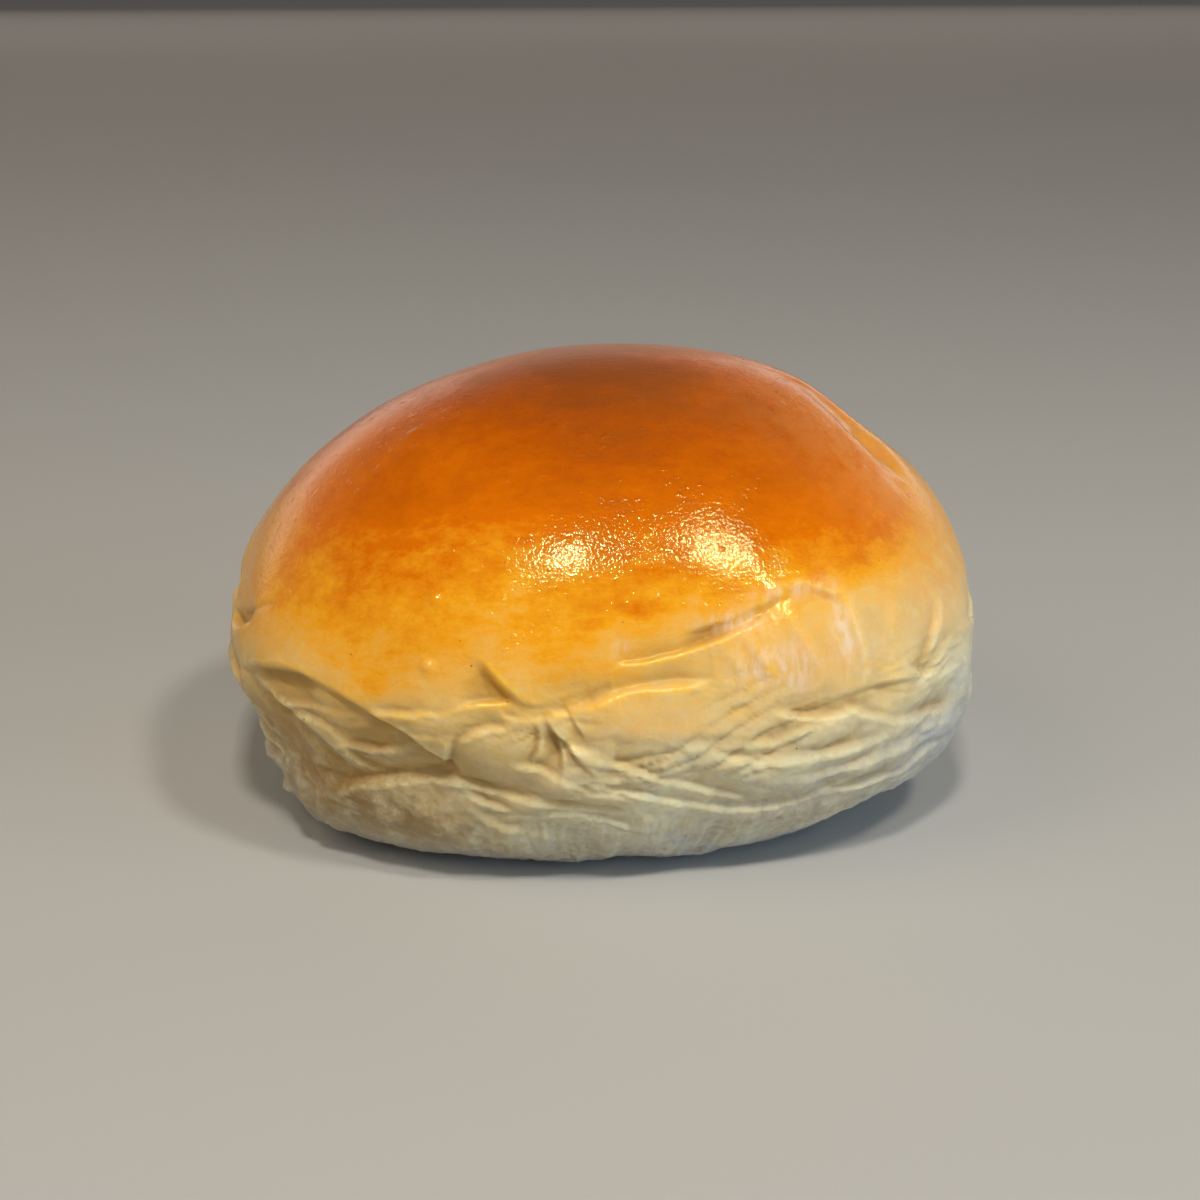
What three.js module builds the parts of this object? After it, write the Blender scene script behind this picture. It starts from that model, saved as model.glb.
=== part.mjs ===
// A soft bread roll baked in one piece: an oval dome with a smooth glazed crown, a belly line a third of the
// way up, and a pale side that has sunk into folds as the roll cooled, above a small flat foot.
// Millimetres, +Z up. The origin is the middle of the roll's box on the surface that it stands on,
// X runs along the roll's length and -Y is the side where the deep folds are.
//
// A place on the skin is an azimuth in degrees, anticlockwise from +X, and a rise in millimetres, measured
// along the skin from the belly line: positive up to the crown, negative down to the foot.
import * as THREE from "three";

// The form.
const LENGTH = 100;
const DEPTH = 86;
const HEIGHT = 60;
const BELLY_HEIGHT = 22;
const FOOT_SHARE = 0.65; // size of the flat foot beside the belly line
const BELLY_POWER = 2.5; // the plan's outline at the belly line: 2 is an ellipse, and more is squarer
const CROWN_POWER = 2.05; // and the same well above it
const FOOT_SHIFT = [-1.5, 2]; // the foot's middle, from the belly's
const CROWN_SHIFT = [1, -1]; // the crown's middle, from the belly's
const MEAN_RADIUS = (LENGTH + DEPTH) / 4;

// Lengths of skin from the belly line to the crown, and to the foot, each close to a quarter of an ellipse.
const CROWN_RISE = quarterEllipse(MEAN_RADIUS, HEIGHT - BELLY_HEIGHT);
const FOOT_DROP = quarterEllipse(MEAN_RADIUS * (1 - FOOT_SHARE), BELLY_HEIGHT);

// Broad dents and swellings: place, half size round the roll and up the skin, and height.
const LOBES = [
  { at: [195, -8], half: [16, 5], swell: -1.9 }, // waist at the left end
  { at: [206, -11], half: [11, 5], swell: -0.9 },
  { at: [216, -20], half: [14, 6], swell: 0.6 }, // lip of the foot beside it
  { at: [321, -20], half: [12, 7], swell: -1.2 }, // hollow under the right end
  { at: [329, -10], half: [12, 7], swell: 1.5 }, // right end hanging over it
  { at: [347, -2], half: [8, 5], swell: -0.7 },
  { at: [355, 22], half: [16, 10], swell: 0.5 },
  { at: [8, 34], half: [7, 8], swell: -0.7 }, // dent in the right shoulder
  { at: [150, 42], half: [24, 14], swell: -0.6 },
  { at: [228, 8], half: [6, 6], swell: -0.6 }, // dimple on the left
  { at: [272, 19], half: [8, 3.5], swell: -0.45 }, // hollows below the shine
  { at: [256, 16.5], half: [6, 2.6], swell: -0.3 },
  { at: [12, 54], half: [10, 7], swell: 0.3 },
  { at: [14, 43], half: [12, 7], swell: 0.7 },
  { at: [172, 9], half: [12, 7], swell: 0.7 },
  { at: [231, 5], half: [13, 4], swell: 0.6 }, // the left side's upper skin hangs over the lower
  { at: [234, -6], half: [13, 5], swell: -1.8 },
  { at: [276, -1], half: [11, 4], swell: 0.8 },
  { at: [100, -10], half: [18, 5], swell: -1.2 }, // waist at the back
  { at: [60, 12], half: [16, 9], swell: 0.7 },
];

// Folds of the front, each a tuck along a shallow arc: both ends, how far the middle bows up the skin, the
// crease's width and depth, and the lip beside it, above the crease where it is positive, else below it.
const FRONT_FOLDS = [
  // Two long folds that run down from the left shoulder to the middle
  fold([203, 2], [226, 3.6], 2.3, 1.5, 1.3, 0.35),
  fold([226, 3.6], [241, -4.2], 0.2, 1.2, 1.2, 0.28),
  fold([206, 0], [223.5, -7.5], 1.6, 2.4, 1.9, 0.28),
  fold([188, 6], [205, 13], 0, 0.7, 0.25, 0.08),
  fold([208, 0.8], [224, 2.2], 0.6, 1.1, 0.6, -0.21),
  fold([211, -1.2], [223.5, -1.6], 1.6, 0.9, 0.6, -0.24),
  fold([223.5, -2.2], [235, -0.8], -0.9, 0.9, 0.7, -0.24),
  fold([224, -3], [229, -6], -0.4, 0.8, 0.5, -0.17),
  // The edge of the glaze in the middle, and the twin lips to its right
  fold([229, 3.4], [239, 3.9], 0.4, 0.8, 0.6, -0.28),
  fold([239, 3.9], [249.5, 6.3], 0.4, 0.8, 0.7, -0.35),
  fold([244.5, 10], [254, 4], -0.6, 1.7, 0.8, 0.28),
  fold([249, 4.5], [255.5, 4.2], -0.4, 0.7, 0.5, -0.35),
  fold([254, 4.4], [266, 7.8], -0.4, 1.5, 1.2, -0.35),
  fold([266, 7.6], [282, 8.8], 0.5, 1.6, 1.3, -0.42),
  fold([267, 11.3], [291, 16.2], -0.8, 0.9, 0.8, -0.45),
  fold([279, 14.2], [294, 18], -0.4, 1, 0.5, 0.14),
  // The loop and the puckers that fan out below the right shoulder
  fold([291.5, 16.4], [304, 16.2], 1.8, 1.4, 0.4, 0.62),
  fold([304, 16.4], [304.4, 4.6], 0.5, 1.9, 0.1, 0.42),
  fold([301, 13], [302.6, 4.5], 0.3, 0.8, 0.05, 0.24),
  fold([293, 15.5], [296.6, 4.5], 0.6, 2.3, 0.05, 0.4),
  fold([286, 13], [289.6, 5.5], 0.4, 2.3, 0.05, 0.4),
  fold([283, 11], [285.6, 6.5], 0.3, 1.6, 0.05, 0.25),
  fold([313, 14.5], [310, 6], -0.5, 2, 0.25, 0.21),
  fold([325, 13], [318, 5], 0, 1.3, 0.4, 0.21),
  fold([326, 7], [316, 2.4], 0, 1, 0.5, 0.21),
  fold([314, 7], [328, 3], -1.2, 1, 0.5, -0.21),
  // The smooth panel left of the middle, and the short folds beside it
  fold([240.6, -4.4], [241.6, 0.2], 0, 0.8, 0.9, 0.14),
  fold([241.5, 0.4], [249, 3], 0.5, 1.1, 0.7, -0.28),
  fold([253.4, 3], [253, -2.6], 0.8, 0.8, 0.6, 0.21),
  fold([252, -2.6], [262.5, -5.6], 0.3, 0.8, 0.7, -0.21),
  fold([256.5, 1], [257.6, -4.6], 0.3, 0.8, 0.7, 0.21),
  fold([255, 3.4], [262.5, -3.4], -0.7, 0.9, 0.9, 0.28),
  fold([258.2, 4.8], [261, 0.4], 0, 0.7, 0.5, 0.24),
  // Long folds across the right half
  fold([258.5, 0], [273, -3.4], 0.3, 0.9, 0.8, -0.25),
  fold([273, -3.4], [289, -8], -0.3, 0.9, 0.7, -0.25),
  fold([277.5, 0], [292, -0.8], 0.4, 1.1, 0.7, -0.32),
  fold([292, -0.6], [302, 1.4], -0.3, 1, 0.6, -0.24),
  fold([282, -1], [311, -2], -1.7, 1.1, 0.9, -0.32),
  fold([293, 3.4], [306, 2.6], -1.2, 1.2, 0.8, -0.35),
  fold([304.5, 2.6], [327, -2.6], -1.2, 1.2, 1, -0.28),
  fold([304, 3.2], [316, 3.6], 0.5, 0.9, 0.6, 0.21),
  fold([298, -6.2], [326, -3.6], 0.3, 1, 0.8, -0.28),
  fold([303, -8.8], [323.5, -6.4], -0.6, 0.9, 0.7, -0.21),
  // The crease that parts the foot from the side, and the folds on the foot
  fold([220, -10], [240.5, -5.6], 1, 1.1, 1.5, -0.32),
  fold([240.5, -5.4], [267.5, -9], -0.5, 0.9, 1, -0.28),
  fold([244, -7.4], [252, -10], -0.2, 0.8, 0.8, -0.28),
  fold([252, -10], [270, -11.6], 1.2, 0.8, 0.6, -0.14),
  fold([260, -4.4], [270, -3.8], 0.4, 0.8, 0.5, -0.24),
  fold([259.5, -6.8], [269, -6.8], 0.7, 0.7, 0.5, -0.21),
  fold([264.5, -5], [280, -8.8], 0.5, 0.8, 0.6, -0.24),
  fold([278, -7.6], [305, -7.6], -2.4, 0.9, 0.7, -0.24),
  fold([244, -9], [262, -13], -1.6, 1.2, 0.5, -0.14),
  // The groove in the right shoulder
  fold([354, 44], [338, 29], 1, 3, 0.9, 0),
  fold([0, 46], [345, 33], 1, 2.4, 0.5, 0),
];

// The folds that go on round the roll's other sides are drawn from a seeded sequence, in rows up the skin.
const HIDDEN_FROM = 332;
const HIDDEN_TO = 360 + 188;
const HIDDEN_ROWS = [-19, -14, -9, -4, 1, 7];
const HIDDEN_STEP = 21;
const SEED = 71;

// Further shares of a fold's width: how wide its valley is, and how soon its lip rises and settles.
const VALLEY_SHARE = 1.2;
const LIP_SHARE = 0.9;
const SETTLE_SHARE = 1.4;

// Waves that run in directions a golden angle apart bend the folds.
const WAVES = 9;
const WAVE_LENGTH = 15;
const WAVE_SQUEEZE = 2.3; // they are this much shorter up the roll than round it
const GOLDEN_ANGLE = Math.PI * (3 - Math.sqrt(5));
const WANDER = 0.5; // how far the waves push a fold off its arc

// The skin is folded up to a border, higher on one side and lower on the other.
const FOLDED_RISE = 4;
const FOLDED_SWING = 4;
const FOLDED_HIGH_SIDE = 325;

// Smooth places between the folds: place, and half size round the roll and up the skin.
const CALM_PLACES = [
  { at: [247, -3], half: [6, 3] },
  { at: [272, 3], half: [9, 3] },
  { at: [300, 8], half: [8, 5] },
];

// Clouds of random lumps, from a cube of drawn values that repeats in every direction.
const LATTICE = 32;
const CROWN_SWELLS = { values: lattice(8), size: 24, height: 0.3 };
const CROWN_DIMPLES = { values: lattice(9), size: 9, height: 0.07 };
const SIDE_SWELLS = { values: lattice(10), size: 8, height: 0.45 };

// Folds gain or lose this share along their lines.
const FOLD_STRENGTH = { values: lattice(41), size: 4.5, height: 0.5 };

// Pleats, long wrinkles round the roll, are layers of skin that clouds bend and let fade.
const PLEAT_SPACING = 3.1;
const PLEAT_LENGTH = 18;
const PLEAT_DEPTH = 0.5;
const PLEAT_BEND = { values: lattice(5), size: PLEAT_LENGTH, height: 0.9 };
const PLEAT_WOBBLE = { values: lattice(6), size: PLEAT_LENGTH / 3, height: 0.3 };
const PLEAT_PATCHES = { values: lattice(7), size: 0.8 * PLEAT_LENGTH, height: 1 };
const PLEATED_SIDE = 315; // where they are deepest
const PLEAT_SLOPE = 0.3; // how steeply they climb to the right there

// The grid: rings up the skin, closer on the folded side, with fewer points where the rings are small. Points
// round a ring stand closer at the front.
const SIDE_STEP = 1.35;
const CROWN_STEP = 3.6;
const SIDE_TOP = 19;
const RING_POINTS = 136;
const FRONT_CROWDING = 0.35;
const NARROWEST_FOLD = 1.8; // a finer fold would fall between the rings

function quarterEllipse(a, b) {
  return (Math.PI / 2) * Math.sqrt((a * a + b * b) / 2);
}

function fold(from, to, bow, width, depth, lip) {
  return { from, to, bow, width, depth, lip };
}

const radians = THREE.MathUtils.degToRad;

// The shorter way round from one azimuth to another, in degrees.
function turn(degrees) {
  return THREE.MathUtils.euclideanModulo(degrees + 180, 360) - 180;
}

// Numbers from 0 to 1 in a fixed order, by the multiply and remainder rule.
function drawFrom(seed) {
  let state = seed;
  return () => {
    state = (state * 16807) % 2147483647;
    return state / 2147483647;
  };
}

function lattice(seed) {
  const draw = drawFrom(seed);
  return Array.from({ length: LATTICE ** 3 }, () => 2 * draw() - 1);
}

function hiddenFolds() {
  const draw = drawFrom(SEED);
  const folds = [];
  for (const row of HIDDEN_ROWS) {
    for (let start = HIDDEN_FROM; start < HIDDEN_TO; start += HIDDEN_STEP) {
      const from = start + 10 * draw();
      const span = 9 + 15 * draw();
      const rise = row + 3 * (draw() - 0.5);
      const slope = 7 * (draw() - 0.5);
      const bow = 3.2 * (draw() - 0.5);
      const width = 0.8 + 0.8 * draw();
      const depth = 0.5 + 0.8 * draw();
      folds.push(fold([from, rise], [from + span, rise + slope], bow, width, depth, -0.4 * depth));
    }
  }
  return folds;
}

const FOLDS = [...FRONT_FOLDS, ...hiddenFolds()];

// Half the roll's width at the belly line: a squarish oval there, and a rounder one for the skin above.
function planRadius(azimuth, rise) {
  const power = BELLY_POWER - (BELLY_POWER - CROWN_POWER) * smoothStep(rise, 0, CROWN_RISE / 2);
  const x = Math.abs(Math.cos(azimuth)) / (LENGTH / 2);
  const y = Math.abs(Math.sin(azimuth)) / (DEPTH / 2);
  return (x ** power + y ** power) ** (-1 / power);
}

// The smooth form: a quarter of an ellipse from the belly to the crown, and another down to the foot.
function formPoint(azimuth, rise) {
  const up = rise >= 0;
  const angle = (Math.PI / 2) * Math.min(up ? rise / CROWN_RISE : -rise / FOOT_DROP, 1);
  const share = up ? Math.cos(angle) : FOOT_SHARE + (1 - FOOT_SHARE) * Math.cos(angle);
  const height = up
    ? BELLY_HEIGHT + (HEIGHT - BELLY_HEIGHT) * Math.sin(angle)
    : BELLY_HEIGHT * (1 - Math.sin(angle));
  const shift = up ? CROWN_SHIFT : FOOT_SHIFT;
  const radius = planRadius(azimuth, rise) * share;
  return new THREE.Vector3(
    radius * Math.cos(azimuth) + shift[0] * Math.sin(angle),
    radius * Math.sin(azimuth) + shift[1] * Math.sin(angle),
    height,
  );
}

// The outward direction of the smooth form, from a step round it and a step up it.
function formNormal(azimuth, rise) {
  const round = formPoint(azimuth + 1e-3, rise).sub(formPoint(azimuth - 1e-3, rise));
  const upward = formPoint(azimuth, rise + 0.05).sub(formPoint(azimuth, rise - 0.05));
  return round.cross(upward).normalize();
}

// The skin rolled out on a cylinder of the mean radius, its height squeezed, so that no seam shows.
function skinPlace(azimuth, rise, squeeze = 1) {
  return new THREE.Vector3(MEAN_RADIUS * Math.cos(azimuth), MEAN_RADIUS * Math.sin(azimuth), rise * squeeze);
}

// A rolling field, from about -1 to 1: the mean of sine waves through space in evenly spread directions.
function waves(place, length, phase) {
  let sum = 0;
  for (let k = 0; k < WAVES; k++) {
    const tilt = ((2 * k + 1) / WAVES - 1) * 0.8;
    const flat = Math.sqrt(1 - tilt * tilt);
    const turned = k * GOLDEN_ANGLE + phase;
    const heading = new THREE.Vector3(flat * Math.cos(turned), flat * Math.sin(turned), tilt);
    const stretch = length * (0.75 + 0.5 * ((k * 0.618 + phase) % 1));
    sum += Math.sin((2 * Math.PI * place.dot(heading)) / stretch + phase * (k + 1));
  }
  return (sum / WAVES) * 1.8;
}

// A smooth random field: drawn values on a lattice, blended by the fifth-degree ease.
function cloud(place, { values, size, height }) {
  const spot = place.toArray().map((value) => value / size);
  const cell = spot.map(Math.floor);
  const ease = spot.map((value, axis) => THREE.MathUtils.smootherstep(value - cell[axis], 0, 1));
  let sum = 0;
  for (let corner = 0; corner < 8; corner++) {
    const step = [corner & 1, (corner >> 1) & 1, corner >> 2];
    const share = step.reduce((product, one, axis) => product * (one ? ease[axis] : 1 - ease[axis]), 1);
    const [x, y, z] = cell.map((value, axis) => THREE.MathUtils.euclideanModulo(value + step[axis], LATTICE));
    sum += share * values[(x * LATTICE + y) * LATTICE + z];
  }
  return 1.5 * height * sum;
}

// Rises smoothly from 0 to 1 as the value goes from low to high.
function smoothStep(value, low, high) {
  return THREE.MathUtils.smoothstep(value, low, high);
}

function lobeRelief(degrees, rise) {
  const shrink = Math.cos((Math.PI / 2) * Math.max(rise / CROWN_RISE, 0));
  let sum = 0;
  for (const { at, half, swell } of LOBES) {
    const round = radians(turn(degrees - at[0])) * MEAN_RADIUS * shrink;
    sum += swell * Math.exp(-((round / half[0]) ** 2) - ((rise - at[1]) / half[1]) ** 2);
  }
  return sum;
}

// The skin slides down into a fold's crease, comes up steeply on the other side to a thin lip and settles
// again. A fold dies out past its ends, and one that has no lip is a round groove.
function foldRelief({ from, to, bow, width, depth, lip }, degrees, rise, side, up) {
  const reach = radians(1) * MEAN_RADIUS;
  const run = turn(to[0] - from[0]) * reach;
  const climb = to[1] - from[1];
  const length = Math.hypot(run, climb);
  const x = turn(degrees - from[0]) * reach + side;
  const y = rise - from[1] + up;
  const along = (x * run + y * climb) / length / length;
  const t = THREE.MathUtils.clamp(along, 0, 1);
  const past = Math.abs(along - t) * length;
  const wide = Math.max(width, NARROWEST_FOLD);
  const off = ((y * run - x * climb) / length - bow * 4 * t * (1 - t)) / wide;
  const ends = Math.exp(-((past / wide) ** 2)) * (0.35 + 0.65 * Math.sqrt(Math.sin(Math.PI * t)));
  if (lip === 0) return -depth * ends * Math.exp(-(off ** 2));
  const across = off * Math.sign(lip);
  if (across < 0) return -depth * ends * Math.exp(across / VALLEY_SHARE);
  const climbed = smoothStep(across, 0, LIP_SHARE) * (depth + Math.abs(lip)) - depth;
  return ends * climbed * Math.exp(-Math.max(across - LIP_SHARE, 0) / SETTLE_SHARE);
}

// 1 on the folded side of the roll, and 0 on the crown and in the middle of the smooth places.
function foldedShare(azimuth, rise) {
  const border = FOLDED_RISE + FOLDED_SWING * Math.cos(azimuth - radians(FOLDED_HIGH_SIDE));
  let share = 1 - smoothStep(rise, border - 4, border + 5);
  for (const { at, half } of CALM_PLACES) {
    const round = (turn(THREE.MathUtils.radToDeg(azimuth) - at[0]) * radians(1) * MEAN_RADIUS) / half[0];
    share *= 1 - Math.exp(-(round ** 4) - ((rise - at[1]) / half[1]) ** 4);
  }
  return share;
}

// Each layer swells slowly down the skin and tucks in sharply at its lower edge.
function pleats(azimuth, rise) {
  const place = skinPlace(azimuth, rise);
  const climb = PLEAT_SLOPE * MEAN_RADIUS * Math.sin(azimuth - radians(PLEATED_SIDE));
  const layer = (rise - climb) / PLEAT_SPACING + cloud(place, PLEAT_BEND) + cloud(place, PLEAT_WOBBLE);
  const down = 1 - (layer - Math.floor(layer));
  const swell = Math.min(1.4 * Math.sqrt(down) * (1 - down ** 8), 1);
  const strength = smoothStep(cloud(skinPlace(azimuth, rise, 2), PLEAT_PATCHES), -0.3, 0.8);
  return PLEAT_DEPTH * (swell - 1) * strength;
}

// How far the skin stands out of the smooth form, or lies inside it.
function relief(azimuth, rise) {
  const degrees = THREE.MathUtils.radToDeg(azimuth);
  const squeezed = skinPlace(azimuth, rise, WAVE_SQUEEZE);
  const form = formPoint(azimuth, rise);
  const side = WANDER * waves(squeezed, WAVE_LENGTH, 1);
  const up = (WANDER / 2) * waves(squeezed, WAVE_LENGTH, 2);
  const strength = 1 + cloud(skinPlace(azimuth, rise), FOLD_STRENGTH);
  let folds = 0;
  for (const one of FOLDS) folds += foldRelief(one, degrees, rise, side, up);
  let sum = lobeRelief(degrees, rise) + THREE.MathUtils.clamp(strength, 0.15, 1.7) * folds;
  const folded = foldedShare(azimuth, rise);
  const pleated = 0.4 + 0.6 * smoothStep(Math.cos(azimuth - radians(PLEATED_SIDE)), 0.2, 0.9);
  sum += folded * (pleated * pleats(azimuth, rise) + cloud(form, SIDE_SWELLS));
  sum += (1 - folded) * (cloud(form, CROWN_SWELLS) + cloud(form, CROWN_DIMPLES));
  return sum * smoothStep(rise, -FOOT_DROP, -FOOT_DROP + 4);
}

function skinPoint(azimuth, rise) {
  return formPoint(azimuth, rise).addScaledVector(formNormal(azimuth, rise), relief(azimuth, rise));
}

// The rises of the rings, from the foot to the last one under the crown.
function ringRises() {
  const side = Math.round((FOOT_DROP + SIDE_TOP) / SIDE_STEP);
  const crown = Math.round((CROWN_RISE - SIDE_TOP) / CROWN_STEP);
  const rises = [];
  for (let i = 0; i < side; i++) rises.push(-FOOT_DROP + ((FOOT_DROP + SIDE_TOP) * i) / side);
  for (let i = 0; i < crown; i++) rises.push(SIDE_TOP + ((CROWN_RISE - SIDE_TOP) * i) / crown);
  return rises;
}

// Rings lose every second point above the folds, and again near the crown.
function ringCount(rise) {
  if (rise < SIDE_TOP) return RING_POINTS;
  return rise < 0.75 * CROWN_RISE ? RING_POINTS / 2 : RING_POINTS / 4;
}

function azimuthAt(turnShare) {
  const even = 2 * Math.PI * turnShare;
  return even - FRONT_CROWDING * Math.cos(even);
}

// Faces between two rings, the upper with as many points as the lower or half as many.
function stitch(faces, lower, upper) {
  const ratio = lower.count / upper.count;
  for (let i = 0; i < upper.count; i++) {
    const next = (i + 1) % upper.count;
    const low = [...Array(ratio + 1).keys()].map((k) => lower.start + ((i * ratio + k) % lower.count));
    faces.push(low[0], low[1], upper.start + i);
    for (let k = 1; k < ratio; k++) faces.push(low[k], low[k + 1], upper.start + i);
    faces.push(low[ratio], upper.start + next, upper.start + i);
  }
}

function rollGeometry() {
  const positions = [];
  const faces = [];
  const rings = [];
  for (const rise of ringRises()) {
    const ring = { start: positions.length / 3, count: ringCount(rise) };
    for (let i = 0; i < ring.count; i++) {
      positions.push(...skinPoint(azimuthAt(i / ring.count), rise).toArray());
    }
    if (rings.length) stitch(faces, rings.at(-1), ring);
    rings.push(ring);
  }
  const crown = positions.length / 3;
  positions.push(CROWN_SHIFT[0], CROWN_SHIFT[1], HEIGHT + relief(0, CROWN_RISE));
  const foot = crown + 1;
  positions.push(FOOT_SHIFT[0], FOOT_SHIFT[1], 0);
  const last = rings.at(-1);
  for (let i = 0; i < last.count; i++) {
    faces.push(last.start + i, last.start + ((i + 1) % last.count), crown);
  }
  for (let i = 0; i < RING_POINTS; i++) faces.push((i + 1) % RING_POINTS, i, foot);

  const geometry = new THREE.BufferGeometry();
  geometry.setAttribute("position", new THREE.Float32BufferAttribute(positions, 3));
  geometry.setIndex(faces);
  geometry.computeBoundingBox();
  const box = geometry.boundingBox;
  geometry.translate(-(box.min.x + box.max.x) / 2, -(box.min.y + box.max.y) / 2, -box.min.z);
  geometry.computeVertexNormals();
  return geometry;
}

// Glazed crust: golden brown, with the slight gloss of an egg wash.
function crust() {
  return new THREE.MeshStandardMaterial({ color: 0xd98a2b, roughness: 0.42, metalness: 0 });
}

const roll = new THREE.Mesh(rollGeometry(), crust());
roll.name = "bread_roll";

const part = new THREE.Group();
part.add(roll);

export default part;
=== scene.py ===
"""A soft bread roll over its solid: glazed crown, sunken side and foot as one fine skin, on a pale floor.

A place on the skin is an azimuth in degrees, anticlockwise from +X, and a rise in millimetres, measured along
the skin from the belly line: positive up to the crown, negative down to the foot. Shapes are worked out in
millimetres and go into the mesh in metres.
"""

import itertools
import math

import bpy
import numpy as np
from bpy.props import FloatProperty, FloatVectorProperty, PointerProperty
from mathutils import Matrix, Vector


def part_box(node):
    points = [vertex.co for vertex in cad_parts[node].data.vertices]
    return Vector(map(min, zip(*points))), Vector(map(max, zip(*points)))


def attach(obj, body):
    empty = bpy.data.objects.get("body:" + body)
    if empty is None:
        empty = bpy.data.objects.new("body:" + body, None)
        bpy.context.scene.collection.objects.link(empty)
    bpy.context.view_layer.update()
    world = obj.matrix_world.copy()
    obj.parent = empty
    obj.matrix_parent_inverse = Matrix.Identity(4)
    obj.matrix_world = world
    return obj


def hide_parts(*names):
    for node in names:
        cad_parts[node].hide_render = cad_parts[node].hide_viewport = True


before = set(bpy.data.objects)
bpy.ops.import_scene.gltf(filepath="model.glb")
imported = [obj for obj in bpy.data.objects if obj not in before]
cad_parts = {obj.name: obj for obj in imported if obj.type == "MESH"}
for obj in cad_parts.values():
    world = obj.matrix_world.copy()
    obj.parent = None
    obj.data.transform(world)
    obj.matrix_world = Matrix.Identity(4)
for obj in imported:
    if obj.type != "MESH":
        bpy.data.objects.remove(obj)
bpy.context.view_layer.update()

bl_info = {
    "name": "Bread Roll",
    "version": (1, 0, 0),
    "blender": (4, 5, 0),
    "location": "3D View > Sidebar > Bread Roll",
    "description": "Bakes a soft glazed bread roll with a wrinkled side, and lights it on a pale floor",
    "category": "Add Mesh",
}

NODE = "bread_roll"
MM = 0.001

# The form, as the solid has it.
LENGTH = 100
DEPTH = 86
HEIGHT = 60
BELLY_HEIGHT = 22
FOOT_SHARE = 0.65  # size of the flat foot beside the belly line
BELLY_POWER = 2.5  # the plan's outline at the belly: 2 is an ellipse, and more is squarer
CROWN_POWER = 2.05  # and the same well above it
FOOT_SHIFT = (-1.5, 2)  # the foot's middle, from the belly's
CROWN_SHIFT = (1, -1)  # the crown's middle, from the belly's
MEAN_RADIUS = (LENGTH + DEPTH) / 4

# Broad dents and swellings: azimuth, rise, half size round the roll and up the skin, height.
LOBES = (
    (195, -8, 16, 5, -1.9),  # waist at the left end
    (206, -11, 11, 5, -0.9),
    (216, -20, 14, 6, 0.6),  # lip of the foot beside it
    (321, -20, 12, 7, -1.2),  # hollow under the right end
    (329, -10, 12, 7, 1.5),  # right end hanging over it
    (347, -2, 8, 5, -0.7),
    (355, 22, 16, 10, 0.5),
    (8, 34, 7, 8, -0.7),  # dent in the right shoulder
    (150, 42, 24, 14, -0.6),
    (228, 8, 6, 6, -0.6),  # dimple on the left
    (272, 19, 8, 3.5, -0.45),  # hollows below the shine
    (256, 16.5, 6, 2.6, -0.3),
    (12, 54, 10, 7, 0.3),
    (14, 43, 12, 7, 0.7),
    (172, 9, 12, 7, 0.7),
    (231, 5, 13, 4, 0.6),  # the left side's upper skin hangs over the lower
    (234, -6, 13, 5, -1.8),
    (276, -1, 11, 4, 0.8),
    (100, -10, 18, 5, -1.2),  # waist at the back
    (60, 12, 16, 9, 0.7),
)

# Blisters in the glaze, given as the lobes are.
BLISTERS = (
    (235.5, 18.4, 0.7, 0.7, 0.45),
    (237, 10, 0.8, 0.8, 0.5),
    (206, 40, 0.7, 0.7, 0.3),
    (248.5, 45.2, 0.9, 0.8, 0.4),
    (257, 44, 0.6, 0.6, 0.3),
    (278.5, 50.8, 0.9, 0.7, 0.4),
    (291, 49.6, 0.7, 0.7, 0.3),
)

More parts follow.
